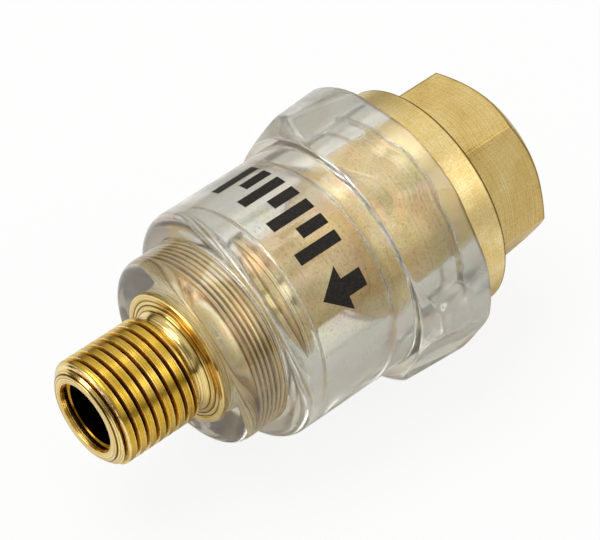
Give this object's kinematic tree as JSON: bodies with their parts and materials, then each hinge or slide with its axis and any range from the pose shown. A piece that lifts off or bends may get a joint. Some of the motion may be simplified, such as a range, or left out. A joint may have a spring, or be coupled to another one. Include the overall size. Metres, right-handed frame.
{
  "type": "air line lubricator",
  "caption": "Inline air line lubricator with a clear plastic oil bowl, a threaded brass outlet and a hexagon brass inlet head.",
  "frame": {"origin": "on the flow axis, where the outlet thread stops", "axes": "+X along the flow axis towards the inlet head, so -X is the way the outlet thread points; +Z towards the middle of one of the collar's flats, opposite the flat it lies on"},
  "size_m": [0.0596, 0.0344, 0.033],
  "materials": {
    "clear_plastic": "clear moulded plastic, slightly milky",
    "polished_brass": "turned and polished, rich gold",
    "satin_brass": "pale satin, with fine turning lines",
    "rubber": "black oil-proof rubber",
    "pale_rubber": "undyed translucent rubber, matt",
    "black_print": "black printed flow mark on the barrel",
    "felt": "pressed wool felt"
  },
  "bodies": {
    "bowl_unit": {"bowl": "clear_plastic", "outlet_fitting": "polished_brass", "felt_ring": "felt"},
    "gasket_unit": {"head_gasket": "pale_rubber"},
    "head_unit": {"inlet_head": "satin_brass", "air_tube": "satin_brass", "venturi_nozzle": "satin_brass"},
    "ring_unit": {"feed_ring": "rubber"},
    "screw_unit": {"metering_screw": "satin_brass"}
  },
  "joints": [
    {"name": "head_travel", "type": "slide", "parent": "bowl_unit", "child": "gasket_unit", "axis": [1, 0, 0], "range_m": [0, 0.006]},
    {"name": "head_turn", "type": "hinge", "parent": "gasket_unit", "child": "head_unit", "pos_m": [0.03, 0, 0], "axis": [1, 0, 0], "range_deg": [0, 1441]},
    {"name": "screw_travel", "type": "slide", "parent": "bowl_unit", "child": "ring_unit", "axis": [-1, 0, 0], "range_m": [0, 0.0015]},
    {"name": "screw_turn", "type": "hinge", "parent": "ring_unit", "child": "screw_unit", "pos_m": [0, 0, 0], "axis": [-1, 0, 0], "range_deg": [0, 721]}
  ],
  "couplings": [
    {"joint": "head_turn", "follows": "head_travel", "rad_per_m": 4188.8},
    {"joint": "screw_turn", "follows": "screw_travel", "rad_per_m": 8377.6}
  ]
}
